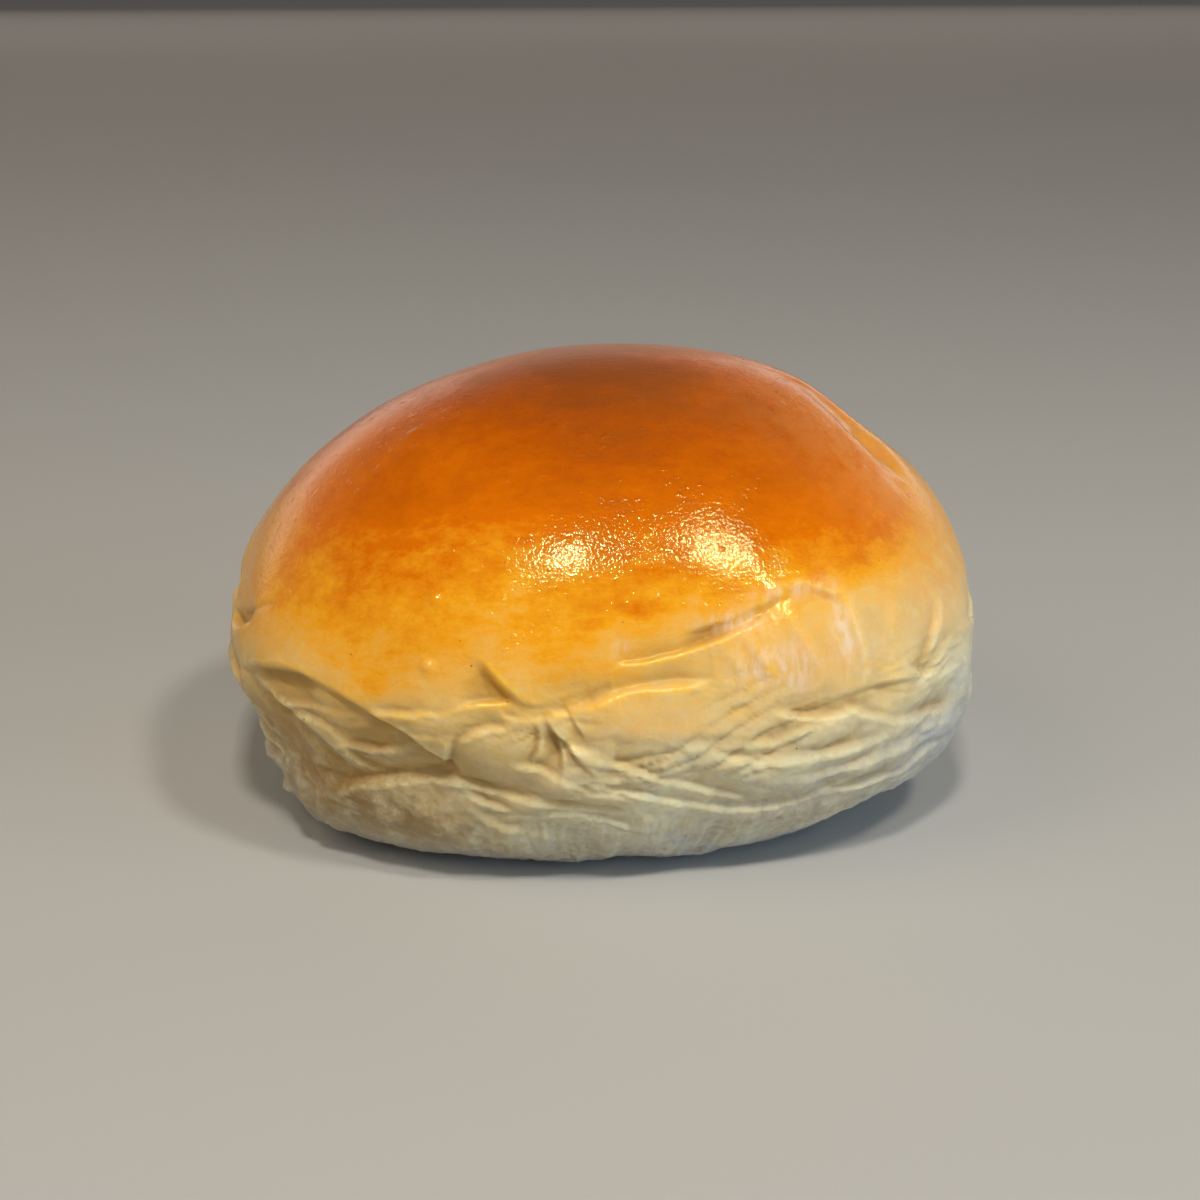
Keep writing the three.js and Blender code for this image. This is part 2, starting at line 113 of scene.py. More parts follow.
# Folds of the front: both ends as azimuth and rise, how far the middle bows up the skin, the groove's width
# and depth, and the lip beside it, above the groove where it is positive and below it where not.
FRONT_FOLDS = (
    # Two long folds that run down from the left shoulder to the middle
    ((203, 2), (226, 3.6), 2.3, 1.5, 1.3, 0.35),
    ((226, 3.6), (241, -4.2), 0.2, 1.2, 1.2, 0.28),
    ((206, 0), (223.5, -7.5), 1.6, 2.4, 1.9, 0.28),
    ((188, 6), (205, 13), 0, 0.7, 0.25, 0.08),
    ((208, 0.8), (224, 2.2), 0.6, 1.1, 0.6, -0.21),
    ((211, -1.2), (223.5, -1.6), 1.6, 0.9, 0.6, -0.24),
    ((223.5, -2.2), (235, -0.8), -0.9, 0.9, 0.7, -0.24),
    ((224, -3), (229, -6), -0.4, 0.8, 0.5, -0.17),
    # The edge of the glaze in the middle, and the twin lips to its right
    ((229, 3.4), (239, 3.9), 0.4, 0.8, 0.6, -0.28),
    ((239, 3.9), (249.5, 6.3), 0.4, 0.8, 0.7, -0.35),
    ((244.5, 10), (254, 4), -0.6, 1.7, 0.8, 0.28),
    ((249, 4.5), (255.5, 4.2), -0.4, 0.7, 0.5, -0.35),
    ((254, 4.4), (266, 7.8), -0.4, 1.5, 1.2, -0.35),
    ((266, 7.6), (282, 8.8), 0.5, 1.6, 1.3, -0.42),
    ((267, 11.3), (291, 16.2), -0.8, 0.9, 0.8, -0.45),
    ((279, 14.2), (294, 18), -0.4, 1, 0.5, 0.14),
    # The loop and the puckers that fan out below the right shoulder
    ((291.5, 16.4), (304, 16.2), 1.8, 1.4, 0.4, 0.62),
    ((304, 16.4), (304.4, 4.6), 0.5, 1.9, 0.1, 0.42),
    ((301, 13), (302.6, 4.5), 0.3, 0.8, 0.05, 0.24),
    ((293, 15.5), (296.6, 4.5), 0.6, 2.3, 0.05, 0.4),
    ((286, 13), (289.6, 5.5), 0.4, 2.3, 0.05, 0.4),
    ((283, 11), (285.6, 6.5), 0.3, 1.6, 0.05, 0.25),
    ((313, 14.5), (310, 6), -0.5, 2, 0.25, 0.21),
    ((325, 13), (318, 5), 0, 1.3, 0.4, 0.21),
    ((326, 7), (316, 2.4), 0, 1, 0.5, 0.21),
    ((314, 7), (328, 3), -1.2, 1, 0.5, -0.21),
    # The smooth panel left of the middle, and the short folds beside it
    ((240.6, -4.4), (241.6, 0.2), 0, 0.8, 0.9, 0.14),
    ((241.5, 0.4), (249, 3), 0.5, 1.1, 0.7, -0.28),
    ((253.4, 3), (253, -2.6), 0.8, 0.8, 0.6, 0.21),
    ((252, -2.6), (262.5, -5.6), 0.3, 0.8, 0.7, -0.21),
    ((256.5, 1), (257.6, -4.6), 0.3, 0.8, 0.7, 0.21),
    ((255, 3.4), (262.5, -3.4), -0.7, 0.9, 0.9, 0.28),
    ((258.2, 4.8), (261, 0.4), 0, 0.7, 0.5, 0.24),
    # Long folds across the right half
    ((258.5, 0), (273, -3.4), 0.3, 0.9, 0.8, -0.25),
    ((273, -3.4), (289, -8), -0.3, 0.9, 0.7, -0.25),
    ((277.5, 0), (292, -0.8), 0.4, 1.1, 0.7, -0.32),
    ((292, -0.6), (302, 1.4), -0.3, 1, 0.6, -0.24),
    ((282, -1), (311, -2), -1.7, 1.1, 0.9, -0.32),
    ((293, 3.4), (306, 2.6), -1.2, 1.2, 0.8, -0.35),
    ((304.5, 2.6), (327, -2.6), -1.2, 1.2, 1, -0.28),
    ((304, 3.2), (316, 3.6), 0.5, 0.9, 0.6, 0.21),
    ((298, -6.2), (326, -3.6), 0.3, 1, 0.8, -0.28),
    ((303, -8.8), (323.5, -6.4), -0.6, 0.9, 0.7, -0.21),
    # The crease that parts the foot from the side, and the folds on the foot
    ((220, -10), (240.5, -5.6), 1, 1.1, 1.5, -0.32),
    ((240.5, -5.4), (267.5, -9), -0.5, 0.9, 1, -0.28),
    ((244, -7.4), (252, -10), -0.2, 0.8, 0.8, -0.28),
    ((252, -10), (270, -11.6), 1.2, 0.8, 0.6, -0.14),
    ((260, -4.4), (270, -3.8), 0.4, 0.8, 0.5, -0.24),
    ((259.5, -6.8), (269, -6.8), 0.7, 0.7, 0.5, -0.21),
    ((264.5, -5), (280, -8.8), 0.5, 0.8, 0.6, -0.24),
    ((278, -7.6), (305, -7.6), -2.4, 0.9, 0.7, -0.24),
    ((244, -9), (262, -13), -1.6, 1.2, 0.5, -0.14),
    # The groove in the right shoulder
    ((354, 44), (338, 29), 1, 3, 0.9, 0),
    ((0, 46), (345, 33), 1, 2.4, 0.5, 0),
)

# The folds that go on round the roll's other sides are drawn from a seeded sequence, in rows up the skin, one
# to each step round it. Pairs are the least value and the most that is added to it.
HIDDEN_FROM = 332
HIDDEN_TO = 360 + 188
HIDDEN_ROWS = (-19, -14, -9, -4, 1, 7)
HIDDEN_STEP = 21
HIDDEN_DELAY = 10  # the most that a fold starts after its step
HIDDEN_SPAN = (9, 15)
HIDDEN_RISE_SPREAD = 3
HIDDEN_CLIMB_SPREAD = 7
HIDDEN_BOW_SPREAD = 3.2
HIDDEN_WIDTH = (0.8, 0.8)
HIDDEN_DEPTH = (0.5, 0.8)
HIDDEN_LIP_SHARE = -0.4  # lip beside the depth
SEED = 71
DRAW_FACTOR = 16807
DRAW_MODULUS = 2147483647

# Further shares of a fold's width: how wide its valley is, and how soon its lip rises and settles.
VALLEY_SHARE = 2
LIP_SHARE = 0.9
SETTLE_SHARE = 2.6
CREST_SHARE = 0.24  # half width of the glossy line along the lip
LIP_HEIGHT = 0.8  # how high a lip stands beside its given size
END_SHARE = 0.35  # size at the ends of the arc, beside its middle
GLOSSY_LIP = 0.3  # height of a lip whose crest is glossy all through

# Waves that run in directions a golden angle apart, which bend the folds and make a net of small wrinkles.
WAVES = 9
WAVE_LENGTH = 15
WAVE_LENGTHS = (0.75, 0.5)  # least share of that length, and the most that is added to it
WAVE_TILT = 0.8  # sine of the steepest one's direction
WAVE_GAIN = 1.8
WAVE_SQUEEZE = 2.3  # the wrinkles are this much finer up the roll than round it
WAVE_DEPTH = 0.2
WAVE_CREASE = 0.2  # share of a wave that its wrinkle is wide
GOLDEN_ANGLE = math.pi * (3 - math.sqrt(5))
GOLDEN_SHARE = 0.618
WANDER = 0.5  # how far the waves push a fold off its arc

# The skin is folded up to a border, higher on one side and lower on the other, and fades to the crown from
# below the border to above it.
FOLDED_RISE = 4
FOLDED_SWING = 4
FOLDED_HIGH_SIDE = 325
FOLDED_FADE = (-4, 5)

# Smooth places between the folds: azimuth, rise, half size round the roll and up the skin.
CALM_PLACES = (
    (247, -3, 6, 3),
    (272, 3, 9, 3),
    (300, 8, 8, 5),
)

# Clouds of random lumps: seed, size and height. Their lattice repeats after this many cells.
LATTICE = 32
CROWN_SWELLS = (8, 24, 0.3)
CROWN_DIMPLES = (9, 9, 0.07)
SIDE_SWELLS = (10, 8, 0.45)
LINE_JITTER = (31, 4, 0.14)  # fine unevenness of a fold's line
FOLD_STRENGTH = (41, 4.5, 0.5)  # share that a fold gains or loses along its line
FOLD_STRENGTH_RANGE = (0.15, 1.7)
CREPE = (51, 1.3, 0.08)  # the fine crumple of the pale skin
CREPE_SQUEEZE = 1.4
STRIATIONS = (61, 1.6, 0.17)  # fine upright ridges of the foot
STRIATION_STRETCH = 0.2
STRIATIONS_BELOW = (-9, -13)  # they rise from none to full between these rises, and fade between the next two
STRIATIONS_ABOVE = (-26, -18)
FLAT_EDGE = 4  # the relief starts this far above the flat foot
FULL_CREASE = 1.5  # depth of the small relief that counts as a full crease
BROWN_CLOUD = (11, 24, 2.6)

# Pleats, long wrinkles round the roll: seed, spacing, length and depth. They are deepest on one side.
BROAD_PLEATS = (5, 3.1, 18, 0.5)
FINE_PLEATS = (25, 1.5, 9, 0.5)
PLEATED_SIDE = 315
LEAST_PLEATED = 0.4  # share that the pleats keep on the other sides
PLEAT_SLOPE = 0.3  # how steeply they climb to the right there
PLEAT_BENDS = (0.9, 0.3)  # how far a pleat strays, in spacings, over its length and over a third of it
PLEAT_SWELL = 1.4
PLEAT_TUCK = 8  # power that makes the lower edge sharp
PLEAT_PATCHES = (-0.3, 0.8)  # range of a cloud over which they come up

# Browning goes from cream at 0 to the darkest crust at 1, over this much of the skin.
BROWNING_FROM = 4
BROWNING_SPAN = 52
BROWNING_SWING = 9
PALE_SIDE = 345
PALE_NARROWING = 6  # power that keeps the higher border to this side

# Browner and paler patches, as the lobes are given, in millimetres that the browning is ahead or behind.
PATCHES = (
    (212, 14, 18, 8, 7),
    (213, 29, 10, 6, 8),
    (219.5, 17, 2.5, 2.5, 2.5),
    (228, 6.5, 3, 3, 7),
    (256, 9, 13, 4, 6),
    (254, 15, 9, 3, 4),
    (303, 30, 12, 8, 4.5),
    (270, 33, 12, 6, -2),
    (270, 18, 5, 2, 5),
    (309, 13, 14, 6, -6),
    (319, 23, 9, 6, 3),
    (322, 32, 11, 9, 5),
    (311, 20.5, 6, 3, 6.5),
    (331, 27, 7, 7, 6),
    (319, 46, 8, 6, 4),
    # Pulls the darker, bluer foot colour up the lower right: painted shade and cool light.
    (312, -5, 22, 8, -8),
    (272, 3, 9, 3, 3.5),
    (200, 9, 8, 5, 1.5),
    (350, 31, 12, 12, -5),
    (324, 40, 9, 7, 8),
    (280.5, 57.2, 7, 1.4, 7),
    (314, 54.8, 5, 1.2, 6),
    (229, 57.2, 5, 1.2, 6),
    (192, 51.6, 4, 1.6, 6),
    (250, 50, 6, 1.2, 4),
    (265, 40, 9, 1.4, 3),
    (238, 34, 6, 1.5, 3),
)

# Places where the pale skin is painted darker and browner as shade, low down and mostly on the left, given as
# the lobes are, with a share.
PAINTED_SHADES = (
    (217, -9, 17, 10, 0.95),
    (238, -13, 10, 5, 0.45),
    (247, -3, 7, 4, 0.3),
    (190, -2, 12, 8, 0.4),
    (256, -19, 20, 6, 0.3),
    (303, -12, 14, 7, 0.3),
)

# Places where the crust is tan, given in the same way.
TANS = (
    (345, 33, 13, 15, 0.9),
    (345, 17, 14, 9, 0.5),
    (192, 20, 7, 14, 0.4),
    (272, 3, 9, 3, 0.3),
    (300, 9, 9, 5, 0.35),
    (323, 14, 9, 6, 0.4),
    (330, 27, 7, 7, 0.3),
)

# Places where a pale shine is painted into the colour, a painted reflection on the tight skin of the loop,
# the puckers and the foot, given in the same way.
SHEENS = (
    (286, 15.6, 4, 1.4, 1),
    (297, 18.6, 5, 1, 0.8),
    (304.5, 12, 1.6, 5, 1),
    (295, 8.5, 3, 4, 0.9),
    (288.5, 9, 2.6, 3.5, 0.9),
    (267, 12.8, 1, 1, 0.8),
    (296, -11, 8, 1.6, 0.7),
)

# The grid, finer than the solid's: rings up the skin, with half the points and then a quarter of them where
# the rings are small. Points crowd towards the front.
RING_POINTS = 600
FULL_RINGS_TO = 20
HALF_RINGS_SHARE = 0.75  # they go up to this share of the crown's rise
FRONT_CROWDING = 0.45

# The crust's colours by how far it is baked. The foot step, lowest on the skin, is darker and bluer than the
# pale skin: painted shade and cool light low down.
CRUST_STEPS = (
    (-0.52, "foot"),
    (-0.3, "pale"),
    (0.0, "cream"),
    (0.13, "butter"),
    (0.27, "gold"),
    (0.45, "orange"),
    (0.75, "brown"),
    (1.05, "crown"),
)

# Noises: size in millimetres, detail, roughness and weight. These two make the baking uneven.
MOTTLE = (5, 6, 0.75, 0.4)
DRAWN_MOTTLE = (1.4, 6, 0.75, 0.34)

# These are relief for light alone, with the weight as a height in steps of BUMP_STEP metres.
BUMP_STEP = 0.00005
PEBBLE = (0.5, 2, 0.5, 1.0)
STREAKS = (0.5, 3, 0.6, 0.8)
CRUMPLE = (0.9, 4, 0.6, 1.8)
RIDGES = (0.7, 3, 0.5, 2.5)
GRAIN = (0.25, 2, 0.5, 0.15)
BEAD_HEIGHT = 1.5

# These are stretched from a range of the noise to the whole: size, detail, roughness, low and high.
BEADS = (1.3, 2, 0.5, 0.62, 0.8)
BLOTCHES = (2.6, 5, 0.7, 0.42, 0.72)
# Patchiness of the painted shade low down.
PATCHY_SHADE = (4, 5, 0.7, 0.2, 0.6)
PATCHY_TAN = (3, 5, 0.6, 0.2, 0.6)
PATCHY_SHEEN = (1.1, 3, 0.6, 0.32, 0.66)
PATCHY_CREST = (1.2, 3, 0.6, 0.3, 0.6)

# How drawn out the noise is along x, y and z, as a scale.
DRAWN_OUT = (0.3, 0.6, 1.0)
UPRIGHT = (1.0, 1.0, 0.3)

# Browning over which each of these goes from none to all.
GLAZED = (0.0, 0.35)
BARE = (0.25, -0.05)
GILT = (-0.12, 0.08)
DULLED = (0.45, 1.0)
ON_FOOT = (-0.25, -0.45)

# How much of each colour goes over the baked one where it is strongest. Of these, the crease colour is
# painted shade, the lip colours are painted highlights over paler stretched skin, and the sheen colour is a
# painted reflection.
BLOTCH_SHARE = 0.3
CREASE_SHADE_SHARE = 0.6
LIP_HIGHLIGHT_SHARE = 0.55
GILDED_HIGHLIGHT_SHARE = 0.7
TAN_SHARE = 0.75
SHEEN_SHARE = 0.6

# Dark specks: spacing in millimetres, largest size as a share of it, and strength. A noise says where there
# are any and how large they are, and their edge is soft over a share of the spacing.
SPECK_NOISE = (0.42, 0.7)
SPECK_EDGE = 0.02
SPECKS = (
    (4.5, 0.05, 0.7),
    (2.2, 0.07, 0.45),
)

BARE_ROUGHNESS = 0.42
GLAZED_ROUGHNESS = 0.07
BAKED_ROUGHNESS = 0.3  # what full browning adds to it
CREST_POLISH = 0.28  # and what the crest of a bare lip takes off

# Lamps: azimuth from the front, elevation and share of the lamps' power.
LAMPS = {
    "lamp_left": (-6, 55, 1.0),
    "lamp_right": (33, 53, 0.7),
}
LAMP_DISTANCE = 0.7
LAMP_SIZE = 0.08
LAMP_COLOUR = (1, 0.9, 0.74)

# Soft lights: azimuth and elevation, distance, width, height, power, colour, and whether gloss mirrors them.
SOFT_LIGHTS = {
    "window": (55, 5, 1.2, 0.8, 0.8, 8.5, (0.7, 0.9, 1), False),
    "fill": (-70, 45, 1.2, 0.8, 0.8, 3.6, (1, 0.8, 0.52), False),
    "back": (178, 10, 1.5, 3.0, 0.4, 2.3, (1, 0.8, 0.64), True),
}
SKY_COLOUR = (1, 0.9, 0.82, 1)
SKY_FROM = 0.7  # height at which the surroundings are down to the sky's brightness
FLOOR_HALF = 6.0  # metres

# The photograph's view: 1200 pixels square, with this many to a millimetre at the roll.
FRAME_PIXELS = 1200
PIXELS_PER_MM = 7.32
VIEW_AZIMUTH = -6
VIEW_ELEVATION = 19
VIEW_DISTANCE = 300
VIEW_HEIGHT = 25.25  # of the point looked at
SENSOR = 36  # width of the camera's sensor


def quarter_ellipse(a, b):
    """Length of a quarter of an ellipse with these half axes, by its mean square radius."""
    return math.pi / 2 * math.sqrt((a * a + b * b) / 2)


CROWN_RISE = quarter_ellipse(MEAN_RADIUS, HEIGHT - BELLY_HEIGHT)
FOOT_DROP = quarter_ellipse(MEAN_RADIUS * (1 - FOOT_SHARE), BELLY_HEIGHT)

# Where the rings start and end, and the step between them.
RING_ZONES = (
    (-FOOT_DROP, -16, 0.5),
    (-16, 18, 0.35),
    (18, CROWN_RISE, 0.75),
)


def turn(degrees):
    """The shorter way round for a difference of azimuths: wrapped to -180 to 180."""
    return (degrees + 180) % 360 - 180


def smooth_step(value, low, high):
    """Rises from 0 at low to 1 at high, by 3 t squared less 2 t cubed."""
    t = np.clip((value - low) / (high - low), 0, 1)
    return t * t * (3 - 2 * t)


def draws(seed):
    """Endless numbers from 0 to 1 in a fixed order, by the multiply and remainder rule."""
    state = seed
    while True:
        state = state * DRAW_FACTOR % DRAW_MODULUS
        yield state / DRAW_MODULUS


def hidden_folds():
    """Folds in rows round the other sides, drawn from the seed."""
    draw = draws(SEED)
    folds = []
    for row in HIDDEN_ROWS:
        for start in range(HIDDEN_FROM, HIDDEN_TO, HIDDEN_STEP):
            azimuth = start + HIDDEN_DELAY * next(draw)
            span = HIDDEN_SPAN[0] + HIDDEN_SPAN[1] * next(draw)
            rise = row + HIDDEN_RISE_SPREAD * (next(draw) - 0.5)
            climb = HIDDEN_CLIMB_SPREAD * (next(draw) - 0.5)
            bow = HIDDEN_BOW_SPREAD * (next(draw) - 0.5)
            width = HIDDEN_WIDTH[0] + HIDDEN_WIDTH[1] * next(draw)
            depth = HIDDEN_DEPTH[0] + HIDDEN_DEPTH[1] * next(draw)
            ends = (azimuth, rise), (azimuth + span, rise + climb)
            folds.append((*ends, bow, width, depth, HIDDEN_LIP_SHARE * depth))
    return folds


def plan_radius(azimuth, rise):
    """Half the roll's width at the belly: x and y over the half axes, each to a power, sum to 1. The power
    falls towards the crown."""
    power = BELLY_POWER - (BELLY_POWER - CROWN_POWER) * smooth_step(rise, 0, CROWN_RISE / 2)
    x = np.abs(np.cos(azimuth)) / (LENGTH / 2)
    y = np.abs(np.sin(azimuth)) / (DEPTH / 2)
    return (x**power + y**power) ** (-1 / power)


def form_point(azimuth, rise):
    """The smooth form: a quarter of an ellipse from the belly to the crown, another down to the foot."""
    up = rise >= 0
    angle = math.pi / 2 * np.minimum(np.where(up, rise / CROWN_RISE, -rise / FOOT_DROP), 1)
    share = np.where(up, np.cos(angle), FOOT_SHARE + (1 - FOOT_SHARE) * np.cos(angle))
    height = BELLY_HEIGHT + np.sin(angle) * np.where(up, HEIGHT - BELLY_HEIGHT, -BELLY_HEIGHT)
    shift_x = np.where(up, CROWN_SHIFT[0], FOOT_SHIFT[0]) * np.sin(angle)
    shift_y = np.where(up, CROWN_SHIFT[1], FOOT_SHIFT[1]) * np.sin(angle)
    radius = plan_radius(azimuth, rise) * share
    return np.stack([radius * np.cos(azimuth) + shift_x, radius * np.sin(azimuth) + shift_y, height], -1)


def form_normal(azimuth, rise):
    """Outward direction of the smooth form: the cross product of a step round it and a step up it."""
    around = form_point(azimuth + 1e-3, rise) - form_point(azimuth - 1e-3, rise)
    upward = form_point(azimuth, rise + 0.05) - form_point(azimuth, rise - 0.05)
    normal = np.cross(around, upward)
    return normal / np.linalg.norm(normal, axis=-1, keepdims=True)


def skin_place(azimuth, rise, squeeze=1):
    """The skin rolled out on a cylinder of the mean radius, its height squeezed, so that no seam shows."""
    return np.stack([MEAN_RADIUS * np.cos(azimuth), MEAN_RADIUS * np.sin(azimuth), rise * squeeze], -1)


def waves(place, length, phase):
    """A rolling field of about -1 to 1: the mean of sine waves in evenly spread directions."""
    total = 0
    for k in range(WAVES):
        tilt = ((2 * k + 1) / WAVES - 1) * WAVE_TILT
        flat = math.sqrt(1 - tilt * tilt)
        turned = k * GOLDEN_ANGLE + phase
        heading = np.array([flat * math.cos(turned), flat * math.sin(turned), tilt])
        stretch = length * (WAVE_LENGTHS[0] + WAVE_LENGTHS[1] * ((k * GOLDEN_SHARE + phase) % 1))
        total = total + np.sin(2 * math.pi * (place @ heading) / stretch + phase * (k + 1))
    return total / WAVES * WAVE_GAIN


def cloud(place, kind, octaves=1):
    """Smooth random field of about -1 to 1 times a height: random values on a lattice, blended by the
    fifth-degree ease, with finer lattices added at half the weight."""
    seed, size, height = kind
    values = np.fromiter(itertools.islice(draws(seed), LATTICE**3), float) * 2 - 1
    total = np.zeros(place.shape[:-1])
    for octave in range(octaves):
        spot = place / size * 2**octave + 7.3 * octave
        cell = np.floor(spot).astype(int)
        t = spot - cell
        ease = t * t * t * (t * (6 * t - 15) + 10)
        for corner in range(8):
            step = np.array([corner & 1, corner >> 1 & 1, corner >> 2])
            share = np.prod(np.where(step, ease, 1 - ease), axis=-1)
            x, y, z = np.moveaxis((cell + step) % LATTICE, -1, 0)
            total += share * values[(x * LATTICE + y) * LATTICE + z] / 2**octave
    return 1.5 * height * total


def lobe_relief(degrees, rise, lobes):
    """Sum of round bumps, each falling off by the square of the distance from its middle."""
    shrink = np.cos(math.pi / 2 * np.clip(rise / CROWN_RISE, 0, 1))
    total = 0
    for azimuth, height, half_round, half_up, swell in lobes:
        around = np.radians(turn(degrees - azimuth)) * MEAN_RADIUS * shrink
        total = total + swell * np.exp(-((around / half_round) ** 2) - ((rise - height) / half_up) ** 2)
    return total


def fold_relief(fold, degrees, rise, side, up):
    """A tuck along an arc: the skin slides down into a crease by an exponential curve, comes up steeply on
    the other side to a thin lip, and settles again. It fades past the arc's ends. One that has no lip is a
    round groove. Gives the height and the lip's crest line."""
    (azimuth, start), (last_azimuth, last), bow, width, depth, lip = fold
    reach = math.radians(1) * MEAN_RADIUS
    run = turn(last_azimuth - azimuth) * reach
    climb = last - start
    length = math.hypot(run, climb)
    x = turn(degrees - azimuth) * reach + side
    y = rise - start + up
    along = (x * run + y * climb) / length**2
    t = np.clip(along, 0, 1)
    past = np.abs(along - t) * length
    off = (y * run - x * climb) / length - bow * 4 * t * (1 - t)
    ends = np.exp(-((past / width) ** 2)) * (END_SHARE + (1 - END_SHARE) * np.sqrt(np.sin(math.pi * t)))
    if not lip:
        return -depth * ends * np.exp(-((off / width) ** 2)), 0
    across = off * math.copysign(1, lip) / width
    crest = LIP_HEIGHT * abs(lip)
    valley = -depth * np.exp(np.minimum(across, 0) / VALLEY_SHARE)
    climbing = smooth_step(across, 0, LIP_SHARE)
    settling = np.exp(-np.maximum(across - LIP_SHARE, 0) / SETTLE_SHARE)
    line = abs(lip) * np.exp(-(((across - LIP_SHARE) / CREST_SHARE) ** 2))
    return ends * np.where(across < 0, valley, (climbing * (depth + crest) - depth) * settling), ends * line


def folded_share(azimuth, rise):
    """1 on the folded side of the roll and 0 on the crown, with the border higher on the right."""
    border = FOLDED_RISE + FOLDED_SWING * np.cos(azimuth - math.radians(FOLDED_HIGH_SIDE))
    return 1 - smooth_step(rise, border + FOLDED_FADE[0], border + FOLDED_FADE[1])


def calm_share(degrees, rise):
    """0 in the middle of the smooth places between the folds, and 1 away from them."""
    calm = 1
    for azimuth, height, half_round, half_up in CALM_PLACES:
        around = np.radians(turn(degrees - azimuth)) * MEAN_RADIUS / half_round
        calm = calm * (1 - np.exp(-(around**4) - ((rise - height) / half_up) ** 4))
    return calm


def pleats(azimuth, rise, kind):
    """Long wrinkles round the roll, from -1 in the creases to 0, times a depth: layers that a cloud bends,
    merges and lets fade, each swelling slowly down the skin and tucking in sharply at its lower edge."""
    seed, spacing, length, depth = kind
    place = skin_place(azimuth, rise)
    climb = PLEAT_SLOPE * MEAN_RADIUS * np.sin(azimuth - math.radians(PLEATED_SIDE))
    bend = cloud(place, (seed, length, PLEAT_BENDS[0])) + cloud(place, (seed + 1, length / 3, PLEAT_BENDS[1]))
    layer = (rise - climb) / spacing + bend
    down = 1 - (layer - np.floor(layer))
    swell = np.minimum(PLEAT_SWELL * np.sqrt(down) * (1 - down**PLEAT_TUCK), 1)
    patches = cloud(skin_place(azimuth, rise, 2), (seed + 2, 0.8 * length, 1))
    return depth * (swell - 1) * smooth_step(patches, *PLEAT_PATCHES)


def relief(azimuth, rise):
    """How far the skin stands out of the smooth form, how far above or below its surroundings it lies, and
    the crest lines of its lips."""
    degrees = np.degrees(azimuth)
    place = skin_place(azimuth, rise)
    squeezed = skin_place(azimuth, rise, WAVE_SQUEEZE)
    form = form_point(azimuth, rise)
    side = WANDER * waves(squeezed, WAVE_LENGTH, 1)
    up = WANDER / 2 * waves(squeezed, WAVE_LENGTH, 2) + cloud(place, LINE_JITTER, 2)
    strength = np.clip(1 + cloud(place, FOLD_STRENGTH), *FOLD_STRENGTH_RANGE)
    folds = np.zeros(np.shape(rise))
    crests = np.zeros(np.shape(rise))
    for fold in [*FRONT_FOLDS, *hidden_folds()]:
        height, crest = fold_relief(fold, degrees, rise, side, up)
        folds += strength * height
        crests += strength * crest
    folded = folded_share(azimuth, rise) * calm_share(degrees, rise)
    facing = smooth_step(np.cos(azimuth - math.radians(PLEATED_SIDE)), 0.2, 0.9)
    pleated = LEAST_PLEATED + (1 - LEAST_PLEATED) * facing
    creases = pleated * (pleats(azimuth, rise, BROAD_PLEATS) + pleats(azimuth, rise, FINE_PLEATS))
    net = -WAVE_DEPTH * np.exp(-np.abs(waves(squeezed, WAVE_LENGTH, 3)) / WAVE_CREASE)
    crepe = cloud(skin_place(azimuth, rise, CREPE_SQUEEZE), CREPE, 2)
    on_foot = smooth_step(rise, *STRIATIONS_BELOW) * smooth_step(rise, *STRIATIONS_ABOVE)
    foot = on_foot * cloud(skin_place(azimuth, rise, STRIATION_STRETCH), STRIATIONS, 3)
    small = folds + folded * (creases + net + crepe) + foot
    crown_swells = cloud(form, CROWN_SWELLS) + cloud(form, CROWN_DIMPLES)
    swells = (1 - folded) * crown_swells + folded * cloud(form, SIDE_SWELLS)
    lobes = lobe_relief(degrees, rise, LOBES) + lobe_relief(degrees, rise, BLISTERS)
    fade = smooth_step(rise, -FOOT_DROP, -FOOT_DROP + FLAT_EDGE)
    # The crease depth, by which the crust paints shade into the folds.
    crease = np.clip(small / FULL_CREASE, -1, 1) * fade
    return (lobes + swells + small) * fade, crease, np.clip(crests / GLOSSY_LIP, 0, 1)


def browning(azimuth, rise):
    """How brown the crust is: rises up the skin from a border that is higher on the right, with patches."""
    right = np.maximum(np.cos(azimuth - math.radians(PALE_SIDE)), 0)
    border = BROWNING_FROM + BROWNING_SWING * right**PALE_NARROWING
    patches = lobe_relief(np.degrees(azimuth), rise, PATCHES)
    return (rise - border + cloud(form_point(azimuth, rise), BROWN_CLOUD, 2) + patches) / BROWNING_SPAN


def patch_share(azimuth, rise, patches):
    """Share of painted shade, a tan or a painted reflection in the places that have one, each as a smooth
    bump.
    """
    return np.clip(lobe_relief(np.degrees(azimuth), rise, patches), 0, 1)


def ring_layout():
    """Rises and point counts of the rings, from the foot to the last one under the crown."""
    zones = []
    for low, high, step in RING_ZONES:
        zones.append(np.linspace(low, high, round((high - low) / step), endpoint=False))
    rises = np.concatenate(zones)
    counts = np.where(rises < FULL_RINGS_TO, 1, np.where(rises < HALF_RINGS_SHARE * CROWN_RISE, 2, 4))
    return rises, RING_POINTS // counts


